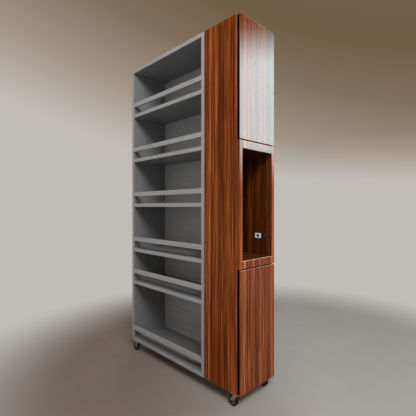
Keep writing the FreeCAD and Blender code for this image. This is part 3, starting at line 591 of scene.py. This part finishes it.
# Materials of each kind of board, and the places of its faces in them.
GREY_UPRIGHT = ("grey_upright", "grey_edge_upright", "grey_outside", "grey_worn")
GREY_LONG = ("grey_long", "grey_edge_long", "grey_outside", "grey_worn")
GREY_INSIDE, GREY_EDGE, GREY_OUTSIDE, GREY_WEAR_AND_HIGHLIGHT = range(4)
BACK_PANEL = ("grey_back", "grey_outside")
BACK_INSIDE, BACK_OUTSIDE = range(2)
PANEL_WOOD = ("wood_upright", "wood_stile", "wood_inner", "wood_shadow", "wood_worn")
PANEL_OUTSIDE, PANEL_STILE, PANEL_INSIDE, PANEL_SHADOW, PANEL_WEAR_AND_HIGHLIGHT = range(5)
POLISHED_WOOD = ("wood_door", "wood_shadow", "wood_inner_cross", "wood_door_worn", "wood_upright")
GLOSSY_WOOD = ("wood_glossy",) + POLISHED_WOOD[1:]
DOOR_FACE, DOOR_SHADOW, DOOR_CROSS, DOOR_PAINTED_HIGHLIGHT, DOOR_SATIN = range(5)


def grey_face(face):
    """Front and rear edges in the lighter copy as painted light, the module's outside faces, and all the
    rest inside it in the darkest copy as painted shade.
    """
    if abs(face.normal.y) > FACING:
        return GREY_EDGE
    middle = face.calc_center_median()
    outside = (middle.x < END_PLANE + MM and face.normal.x < -FACING
               or middle.z > TOP_PLANE - MM or middle.z < DECK_PLANE + MM)
    return GREY_OUTSIDE if outside else GREY_INSIDE


def back_face(face):
    # The face into the bays takes the lighter back copy, as painted light.
    return BACK_OUTSIDE if face.normal.y > FACING else BACK_INSIDE


def panel_face(face, inward):
    """A side panel's front edge, lighter beside the niche as painted light and near black behind a door as
    painted shadow, its inner face darker as painted shade, and the rest.
    """
    if face.normal.x > FACING:
        beside_niche = face.calc_center_median().x > CARCASS_FRONT + MM
        return PANEL_STILE if beside_niche else PANEL_SHADOW
    return PANEL_INSIDE if face.normal.y * inward > FACING else PANEL_OUTSIDE


def door_face(face):
    """A door's finger bevel, near black as painted shadow, its top face in the darker copy below eye level
    as painted shade and satin above it, and its polished faces.
    """
    if face.normal.z > FACING:
        return DOOR_CROSS if face.calc_center_median().z < CAMERA_HEIGHT else DOOR_SATIN
    on_bevel = face.normal.y < -BEVELLED and face.normal.x < -BEVELLED
    return DOOR_SHADOW if on_bevel else DOOR_FACE


def frame_face(face):
    """The top and bottom of the niche's sill and header, in the darker copy as painted shade, and their
    polished fronts.
    """
    return DOOR_CROSS if abs(face.normal.z) > FACING else DOOR_FACE


def door_edge(face):
    """Pale along the top of the front as painted highlight, near black along the bottom as painted shadow,
    satin elsewhere.
    """
    if face.normal.z > ROUNDING and face.normal.x > ROUNDING:
        return DOOR_PAINTED_HIGHLIGHT
    return DOOR_SHADOW if face.normal.z < -ROUNDING else DOOR_SATIN


def grey_boards():
    # Rounded edges take the lightest copy: edge wear and painted highlight.
    looks = {"edges": lambda face: GREY_WEAR_AND_HIGHLIGHT, "shortest": HOLE_FACET}
    for node in ("shelf_end_panel", "shelf_inner_panel"):
        softened(node, EDGE_SOFTNESS, GREY_UPRIGHT, grey_face, **looks)
    for node in ["top_board", "bottom_board"] + [f"shelf_{number}" for number in range(1, 6)]:
        softened(node, EDGE_SOFTNESS, GREY_LONG, grey_face, **looks)
    for number in range(1, 7):
        # The rails in the lighter edge copy all round: painted light.
        softened(f"rail_{number}", RAIL_SOFTNESS, GREY_LONG, lambda face: GREY_EDGE, **looks)
    softened("shelf_back_panel", EDGE_SOFTNESS, BACK_PANEL, back_face)


def tower_boards():
    # The side panels' rounded edges take the paled copy: edge wear and painted highlight.
    for node, inward, shortest in (("tower_front_side", 1, HOLE_FACET), ("tower_rear_side", -1, HINGE_GAIN)):
        softened(node, EDGE_SOFTNESS, PANEL_WOOD, lambda face: panel_face(face, inward),
                 lambda face: PANEL_WEAR_AND_HIGHLIGHT, shortest=shortest)
    # The tower's back in the darker inner copy: painted shade.
    softened("tower_back", EDGE_SOFTNESS, ("wood_inner",), shortest=HOLE_FACET)
    # The sill and header: painted highlight along their top edges, painted shadow along the bottom ones,
    # painted shade on their tops and bottoms.
    for node, wood in (("niche_sill", POLISHED_WOOD), ("niche_header", GLOSSY_WOOD)):
        softened(node, SILL_SOFTNESS, wood, frame_face, door_edge, 3, shortest=HOLE_FACET)
    for node in ("tower_bottom", "tower_top"):
        softened(node, EDGE_SOFTNESS, ("wood_cross",), shortest=HOLE_FACET)
    # The cabinet shelves in the darker inner copy: painted shade.
    for node in ("lower_cabinet_shelf", "upper_cabinet_shelf"):
        softened(node, EDGE_SOFTNESS, ("wood_inner_cross",))
    # The doors: painted highlight along their top edges, painted shadow in the finger bevels and along the
    # bottom edges.
    for node, wood in (("lower_door", POLISHED_WOOD), ("upper_door", GLOSSY_WOOD)):
        softened(node, DOOR_SOFTNESS, wood, door_face, door_edge, 3)


grey_boards()
tower_boards()
finish_cad("beech", "rail_dowels", "tower_dowels")


# --------------------------------------------------------------- screws and pins
ASSEMBLY_SCREW = in_mm(head=9.8, head_tall=3.8, shank=5.8, length=49.5)
MODULE_BOLT = in_mm(head=14.8, head_tall=2.0, shank=7.8)
CASTER_SCREW = in_mm(head=8.0, head_tall=2.0, shank=3.9)
PANEL_SCREW = in_mm(head=7.0, head_tall=1.8, shank=3.5, length=12.0)
LEAF_SCREW = in_mm(head=6.6, head_tall=1.0, shank=3.0, length=9.0)
CATCH_SCREW = in_mm(head=6.0, head_tall=1.2, shank=3.0, length=10.0)
STRIKE_SCREW = in_mm(head=6.0, head_tall=1.0, shank=3.0, length=9.0)
SUNK = 0.2 * MM                 # a screw's head under the board's face, and half a bolt's middle gap
PIN_ROOT, PIN_NECK, PIN_SHANK, PIN_TIP = 2.0 * MM, 2.4 * MM, 2.45 * MM, 1.9 * MM
PIN_COLLAR, PIN_COLLAR_TALL, PIN_COLLAR_ROUND = 3.4 * MM, 0.8 * MM, 0.05 * MM
PIN_CHAMFER = 0.5 * MM
PIN_STEP = 32.0 * MM            # between spare pin holes
SPARE_HOLES = (-4, -3, -2, -1, 2, 3, 4, 5)      # in steps from a pin, with none just above the shelf
# A dark disc just under each sleeve's rim stands for the hole's depth: painted shade.
SLEEVE_FLOOR = outline((0, -0.2), (2.3, -0.2), (2.35, 0.05), (0, 0.06))
SLEEVE_RIM = outline((2.4, 0.05), (2.6, 0.35), (3.4, 0.3), (3.6, 0), (3.5, -0.2), (2.4, -0.2), (2.4, 0.05))
SLEEVE_SEGMENTS = 20
PANEL_SCREW_MARGIN = 60.0 * MM
PANEL_SCREW_COLUMNS = 4
PANEL_HEAD_PROUD = 1.6 * MM


def assembly_screws():
    """Hexagon-socket screws: one head face on each upright panel."""
    mesh = bmesh.new()
    boxes = islands("assembly_screws")
    middle_x = sum(low.x + high.x for low, high in boxes) / 2 / len(boxes)
    for low, high in boxes:
        centre = (low + high) / 2
        axis = -X if centre.x < middle_x else X
        top = Vector((low.x if axis.x < 0 else high.x, centre.y, centre.z)) - axis * SUNK
        screw(mesh, top, axis, **ASSEMBLY_SCREW, drive=hexagon)
    hardware("assembly_screws_look", mesh, ["zinc"], "cabinet",
             ["assembly_screws"])


def module_bolts():
    """Two-part connector bolts, with a wide flat head at each end."""
    mesh = bmesh.new()
    for low, high in islands("module_bolts"):
        centre = (low + high) / 2
        half = (high.x - low.x) / 2 - SUNK
        for end, axis in ((low.x, -X), (high.x, X)):
            screw(mesh, Vector((end, centre.y, centre.z)), axis, **MODULE_BOLT, length=half, drive=hexagon)
    hardware("module_bolts_look", mesh, ["nickel"], "cabinet", ["module_bolts"])


def caster_screws():
    mesh = bmesh.new()
    for low, high in islands("caster_screws"):
        centre = (low + high) / 2
        screw(mesh, Vector((centre.x, centre.y, low.z)), -Z, **CASTER_SCREW, length=high.z - low.z)
    hardware("caster_screws_look", mesh, ["zinc"], "cabinet", ["caster_screws"])


def pin_places():
    """Where each shelf pin leaves its side panel: (spot, way out, sunk length, free length)."""
    front_wall, rear_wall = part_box("tower_front_side")[1].y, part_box("tower_rear_side")[0].y
    for low, high in islands("shelf_pins"):
        centre = (low + high) / 2
        in_front = centre.y < 0
        wall = front_wall if in_front else rear_wall
        sunk = abs(wall - (low.y if in_front else high.y))
        yield Vector((centre.x, wall, centre.z)), Y if in_front else -Y, sunk, high.y - low.y - sunk


def shelf_pins():
    """Shelf pins with a thin collar against the side panel."""
    mesh = bmesh.new()
    for spot, axis, sunk, free in pin_places():
        turn(mesh, spot, axis, [
            (0.0, -sunk), (PIN_ROOT, -sunk), (PIN_NECK, 0.0), (PIN_COLLAR, 0.0),
            (PIN_COLLAR, PIN_COLLAR_TALL), (PIN_SHANK, PIN_COLLAR_TALL + PIN_COLLAR_ROUND),
            (PIN_SHANK, free - PIN_CHAMFER), (PIN_TIP, free), (0.0, free)])
    hardware("shelf_pins_look", mesh, ["zinc"], "cabinet", ["shelf_pins"])


def pin_sleeves():
    """Spare holes for the adjustable shelves: sleeves in a vertical row above and below each pin."""
    mesh = bmesh.new()
    for pin, axis, _, _ in pin_places():
        for step in SPARE_HOLES:
            spot = pin + Z * step * PIN_STEP
            # the dark disc in each sleeve: painted shade of the hole
            turn(mesh, spot, axis, SLEEVE_FLOOR, SLEEVE_SEGMENTS, 1)
            turn(mesh, spot, axis, SLEEVE_RIM, SLEEVE_SEGMENTS)
    bmesh.ops.remove_doubles(mesh, verts=mesh.verts, dist=WELD)
    hardware("pin_sleeves", mesh, ["nickel", "dark_plastic"], "cabinet")


def back_panel_screws():
    """Pan-head screws through the back panel into every shelf."""
    mesh = bmesh.new()
    panel_low, panel_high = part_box("shelf_back_panel")
    first = panel_low.x + PANEL_SCREW_MARGIN
    pitch = (panel_high.x - panel_low.x - 2 * PANEL_SCREW_MARGIN) / (PANEL_SCREW_COLUMNS - 1)
    for number in range(1, 6):
        low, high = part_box(f"shelf_{number}")
        for column in range(PANEL_SCREW_COLUMNS):
            top = Vector((first + column * pitch, panel_high.y + PANEL_HEAD_PROUD, (low.z + high.z) / 2))
            screw(mesh, top, Y, **PANEL_SCREW)
    hardware("back_panel_screws", mesh, ["zinc"], "cabinet")


assembly_screws()
module_bolts()
caster_screws()
shelf_pins()
pin_sleeves()
back_panel_screws()


# ------------------------------------------------------- hinges, catches, buffers
DOOR_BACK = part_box("lower_door")[0].x
LEAF = 1.2 * MM                 # thickness of a hinge leaf
KNUCKLE_REACH = 8.5 * MM        # rear part of a leaf, round its knuckle
LEAF_SCREW_PITCH = 19.0 * MM
LEAF_SCREW_STAGGER = 2.0 * MM
CATCH_SCREW_PITCH = 13.0 * MM
CATCH_HEAD_PROUD = 0.9 * MM
FACE_HEAD_PROUD = 0.1 * MM      # heads of the countersunk screws above their plates
BUFFER_END, BUFFER_SIDE = 14.0 * MM, 19.0 * MM  # from the door's ends and from its free edge
BUFFER = outline((0, 0), (4.5, 0), (4.5, 0.5), (4.0, 1.3), (2.8, 2.0), (1.4, 2.3), (0, 2.4))
LEAF_SOFTNESS, CATCH_SOFTNESS, STRIKE_SOFTNESS = 0.25 * MM, 0.5 * MM, 0.3 * MM
CATCH_LOOKS = ("brown_plastic", "nickel")
CATCH_HOUSING, CATCH_MAGNET = range(2)
MAGNET_PROUD = 0.1 * MM         # least distance of a magnet's faces before the carcass front
DOOR_NAMES = ("lower_door", "upper_door")


def leaf_screws(node, name, face_x, axis, body):
    """Three countersunk screws in each leaf of a hinge node."""
    mesh = bmesh.new()
    for low, high in islands(node):
        middle = (low + high) / 2
        middle.y = (low.y + high.y - KNUCKLE_REACH) / 2
        for step in (-1, 0, 1):
            spot = Vector((face_x, middle.y + abs(step) * LEAF_SCREW_STAGGER,
                           middle.z + step * LEAF_SCREW_PITCH)) + axis * FACE_HEAD_PROUD
            screw(mesh, spot, axis, **LEAF_SCREW)
    hardware(name, mesh, ["zinc"], body)


def hinges():
    for node in ("carcass_hinge_leaves", "lower_door_hinge_leaves", "upper_door_hinge_leaves"):
        softened(node, LEAF_SOFTNESS, ("nickel",), segments=1, crease=ROUND_CREASE)
    leaf_screws("carcass_hinge_leaves", "carcass_leaf_screws", CARCASS_FRONT + LEAF, X, "cabinet")
    for door in DOOR_NAMES:
        leaf_screws(f"{door}_hinge_leaves", f"{door}_leaf_screws", DOOR_BACK - LEAF, -X, door)
    finish_cad("nickel", "hinge_pins")


def catch_face(face):
    """The magnet stands out of the carcass front; the rest is its housing."""
    proud = face.calc_center_median().x - CARCASS_FRONT
    return CATCH_MAGNET if proud > MAGNET_PROUD else CATCH_HOUSING


def catches():
    """Magnetic catches: a brown housing with a bright magnet, and two screws."""
    softened("magnetic_catches", CATCH_SOFTNESS, CATCH_LOOKS, catch_face)
    mesh = bmesh.new()
    for low, high in islands("magnetic_catches"):
        for step in (-1, 1):
            spot = Vector(((low.x + CARCASS_FRONT) / 2, high.y + CATCH_HEAD_PROUD,
                           (low.z + high.z) / 2 + step * CATCH_SCREW_PITCH))
            screw(mesh, spot, Y, **CATCH_SCREW)
    hardware("catch_screws", mesh, ["zinc"], "cabinet")


def strike_and_buffers(door):
    """A strike plate with its countersunk screw, and two soft buffers behind the door's free edge."""
    softened(f"{door}_strike", STRIKE_SOFTNESS, ("nickel",))
    strike_low, strike_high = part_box(f"{door}_strike")
    middle = (strike_low + strike_high) / 2
    mesh = bmesh.new()
    screw(mesh, Vector((strike_low.x - FACE_HEAD_PROUD, middle.y, middle.z)), -X, **STRIKE_SCREW)
    hardware(f"{door}_strike_screw", mesh, ["zinc"], door)

    low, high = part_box(door)
    mesh = bmesh.new()
    for height in (low.z + BUFFER_END, high.z - BUFFER_END):
        turn(mesh, Vector((DOOR_BACK, low.y + BUFFER_SIDE, height)), -X, BUFFER)
    hardware(f"{door}_buffers", mesh, ["black_rubber"], door)


hinges()
catches()
for door in DOOR_NAMES:
    strike_and_buffers(door)


# -------------------------------------------------------------------- the outlet
FRAME_SOFTNESS, SOCKET_SOFTNESS, GROMMET_SOFTNESS = 1.0 * MM, 0.3 * MM, 0.6 * MM
SOCKET_CREASE = 60.0
softened("outlet_frame", FRAME_SOFTNESS, ("white_plastic",), segments=3)
softened("outlet_socket", SOCKET_SOFTNESS, ("dark_plastic",), crease=SOCKET_CREASE)
softened("cable_grommet", GROMMET_SOFTNESS, ("black_rubber",), crease=ROUND_CREASE)


# ------------------------------------------------------------------- the casters
STEEL_SOFTNESS, AXLE_SOFTNESS = 0.6 * MM, 0.5 * MM
FORK_CREASE = 40.0
WHEEL_RIM = 21.0 * MM           # radius of the hub under the tyre
TYRE_SEGMENTS = 72
TYRE_BEAD = outline((0, -2.1), (1.2, -0.8), (2.6, 0))       # from the rim and from the side
TYRE_SHOULDER = outline((-4.2, 0), (-2.2, -0.7), (-0.8, -2.4), (-0.2, -4.6))    # from tread and side
PARTING_LINE = outline((-0.02, 1.0), (-0.25, 0.25))         # from the tread and from the middle

HUB_SEGMENTS = 60
SPOKES = 5
POCKET_END, POCKET_SLOPE = 0.72, 0.18    # from midway between two spokes (0) to the next spoke (1)
HUB_BORE, HUB_BOSS, BOSS_ROUND = 4.06 * MM, 8.5 * MM, 0.8 * MM
HUB_WEB = outline((9.1, 5.8), (9.9, 5.4))                   # (radius, half width) beyond the boss
HUB_POCKET = outline((10.8, 5.4), (15.6, 5.4))
HUB_RING = outline((16.4, 5.4), (17.2, 8.1), (17.8, 8.5), (20.6, 8.5), (21.0, 8.1))
POCKET_DEPTH = 2.2 * MM


def caster_tyre(corner):
    """A tyre with round shoulders, a crowned tread and the moulding's parting line."""
    low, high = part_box(f"{corner}_caster_tyre")
    tread = (high.z - low.z) / 2
    half = (high.y - low.y) / 2
    side = [(WHEEL_RIM + out, half + along) for out, along in TYRE_BEAD]
    side += [(tread + out, half + along) for out, along in TYRE_SHOULDER]
    side += [(tread + out, along) for out, along in PARTING_LINE]
    profile = side + [(radius, -height) for radius, height in reversed(side)] + side[:1]
    mesh = bmesh.new()
    turn(mesh, (low + high) / 2, Y, profile, TYRE_SEGMENTS)
    bmesh.ops.remove_doubles(mesh, verts=mesh.verts, dist=WELD)
    hardware(f"{corner}_caster_tyre_look", mesh, ["tyre"], f"{corner}_wheel",
             [f"{corner}_caster_tyre"])


def hub_ring(mesh, centre, radius, half_width, depth):
    """A ring of corners on one side of the hub, pressed in by depth between the spokes."""
    ring = []
    for step in range(HUB_SEGMENTS):
        angle = 2.0 * math.pi * step / HUB_SEGMENTS
        towards_spoke = abs((step / HUB_SEGMENTS * SPOKES) % 1.0 - 0.5) * 2.0
        pressed = min(max((POCKET_END - towards_spoke) / POCKET_SLOPE, 0.0), 1.0)
        level = half_width - math.copysign(depth * pressed, half_width)
        ring.append(mesh.verts.new(centre + Vector((radius * math.cos(angle), level,
                                                    radius * math.sin(angle)))))
    return ring


def caster_hub(corner):
    """A moulded hub: a raised boss, five spokes between shallow pockets, and a rim."""
    low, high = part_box(f"{corner}_caster_hub")
    centre = (low + high) / 2
    half = (high.y - low.y) / 2
    boss = [(HUB_BORE, half), (HUB_BOSS - BOSS_ROUND, half), (HUB_BOSS, half - BOSS_ROUND)]
    side = [(*point, POCKET_DEPTH if point in HUB_POCKET else 0.0)
            for point in boss + HUB_WEB + HUB_POCKET + HUB_RING]
    mesh = bmesh.new()
    rings = [hub_ring(mesh, centre, *station) for station in side]
    rings += [hub_ring(mesh, centre, radius, -width, depth) for radius, width, depth in reversed(side)]
    skin(mesh, rings + rings[:1])
    hardware(f"{corner}_caster_hub_look", mesh, ["hub_grey"], f"{corner}_wheel",
             [f"{corner}_caster_hub"])


softened("caster_plates", STEEL_SOFTNESS, ("bright_zinc",), crease=ROUND_CREASE)
for corner in ("front_left", "rear_left", "front_right", "rear_right"):
    softened(f"{corner}_caster_fork", STEEL_SOFTNESS, ("fork_steel",), crease=FORK_CREASE)
    softened(f"{corner}_caster_axle", AXLE_SOFTNESS, ("dark_steel",), crease=ROUND_CREASE)
    caster_tyre(corner)
    caster_hub(corner)


# ---------------------------------------------------------------- studio set
HORIZON = (0.53, 0.51, 0.485)
FLOOR_SPECKLE = (3.0, 4.0, 0.6)
FLOOR_TONES = [(0.3, (0.440, 0.434, 0.430)), (0.7, (0.466, 0.460, 0.456))]
FLOOR_MIDDLE = (0.25, 0.45, 0.0)
FLOOR_SEGMENTS = 96
FADE = (1.3, 2.5)               # from the floor's middle: its paint begins and ends to fade
SWEEP = (-0.40, 0.85)           # towards the view's right: from the floor's painted shade to its own tone
# The floor's tone on the left: painted shade.
FLOOR_PAINTED_SHADE = (0.56, 0.480, 0.430)
FEATHER = 0.3                   # share of a softbox's side over which its glow fades in
REAR_RIGHT = (0.20, 0.26, 0.0)  # the way the backdrop deepens, besides upwards
BACKDROP_LIFT = 5.0             # how soon above the horizon it starts to
BACKDROP_TONES = [(0.0, HORIZON), (0.14, (0.53, 0.50, 0.47)), (0.30, (0.36, 0.30, 0.24)),
                  (0.46, (0.22, 0.165, 0.115)), (0.58, (0.165, 0.110, 0.062)), (1.0, (0.18, 0.14, 0.11))]
NEUTRAL, COOL = (1.0, 1.0, 1.0), (0.79, 0.96, 1.0)
SOFTBOXES = {                   # place, target, size, watts, colour
    "door_softbox": ((2.05, 1.95, 2.50), (0.55, 0.0, 2.50), (1.3, 2.3), 50.0, COOL),
    "front_softbox": ((3.1, -2.2, 4.1), (0.0, 0.0, 2.4), (2.4, 2.0), 330.0, NEUTRAL),
    "side_softbox": ((3.3, -0.75, 2.8), (-0.5, -0.1, 1.4), (0.8, 1.2), 42.0, NEUTRAL),
    "rear_softbox": ((-3.2, 2.8, 3.0), (0.0, 0.0, 1.1), (2.0, 2.0), 45.0, NEUTRAL),
}


def make_floor():
    """A pale floor with painted shade towards the left, that fades into a glow of the backdrop's tone away
    from the cart.
    """
    mesh = bmesh.new()
    bmesh.ops.create_circle(mesh, cap_ends=True, segments=FLOOR_SEGMENTS, radius=SET_RADIUS)
    data = bpy.data.meshes.new("floor")
    mesh.to_mesh(data)
    mesh.free()
    floor = link("floor", data)
    finish = Finish("floor_paint")
    place = finish.object_place
    speckled = finish.ramp(finish.noise(place, *FLOOR_SPECKLE), FLOOR_TONES)
    far = finish.eased(finish.vector_math("DISTANCE", place, FLOOR_MIDDLE, output="Value"), *FADE)
    across = finish.vector_math("DOT_PRODUCT", place, tuple(VIEW_RIGHT), output="Value")
    # Painted shade across the floor, deepest to the view's left.
    shade = finish.mix(finish.eased(across, *SWEEP), FLOOR_PAINTED_SHADE, (1.0, 1.0, 1.0))
    tinted = finish.mix(1.0, speckled, shade, "MULTIPLY")
    data.materials.append(finish.set(color=finish.mix(far, tinted, (0.0, 0.0, 0.0)), rough=0.85,
                                     spec=0.0, glow_color=HORIZON, glow=far))


def make_softbox(name, place, target, size, power, colour):
    """A rectangular softbox whose glow fades out towards its edges, itself out of the picture."""
    data = bpy.data.lights.new(name, "AREA")
    data.shape = "RECTANGLE"
    data.size, data.size_y = size
    data.energy = power
    data.color = colour
    data.use_nodes = True
    nodes = Nodes(data.node_tree)
    across = nodes.add("ShaderNodeSeparateXYZ")
    nodes.join(nodes.add("ShaderNodeNewGeometry").outputs["Parametric"], across.inputs[0])
    glows = []
    for side in ("X", "Y"):
        rest = nodes.math("SUBTRACT", 1.0, across.outputs[side])
        glows.append(nodes.eased(nodes.math("MINIMUM", across.outputs[side], rest), 0.0, FEATHER))
    nodes.join(nodes.math("MULTIPLY", *glows), data.node_tree.nodes["Emission"].inputs["Strength"])
    lamp = bpy.data.objects.new(name, data)
    lamp.location = place
    lamp.rotation_euler = (Vector(target) - Vector(place)).to_track_quat("-Z", "Y").to_euler()
    lamp.visible_camera = False
    bpy.context.scene.collection.objects.link(lamp)


def make_backdrop():
    """Pale warm grey at the horizon, deeper overhead and towards the rear right."""
    world = bpy.data.worlds.new("studio")
    world.use_nodes = True
    nodes = Nodes(world.node_tree)
    outward = nodes.add("ShaderNodeTexCoord").outputs["Generated"]
    upward, sideways = (nodes.vector_math("DOT_PRODUCT", outward, direction, output="Value")
                        for direction in (tuple(Z), REAR_RIGHT))
    above = nodes.math("MULTIPLY", upward, BACKDROP_LIFT, use_clamp=True)
    depth = nodes.math("MULTIPLY_ADD", sideways, above, upward)
    tone = nodes.ramp(depth, BACKDROP_TONES, "LINEAR")
    nodes.join(tone, world.node_tree.nodes["Background"].inputs["Color"])
    bpy.context.scene.world = world


make_floor()
make_backdrop()
for softbox, settings in SOFTBOXES.items():
    make_softbox(softbox, *settings)
bpy.context.scene.view_settings.view_transform = "Standard"
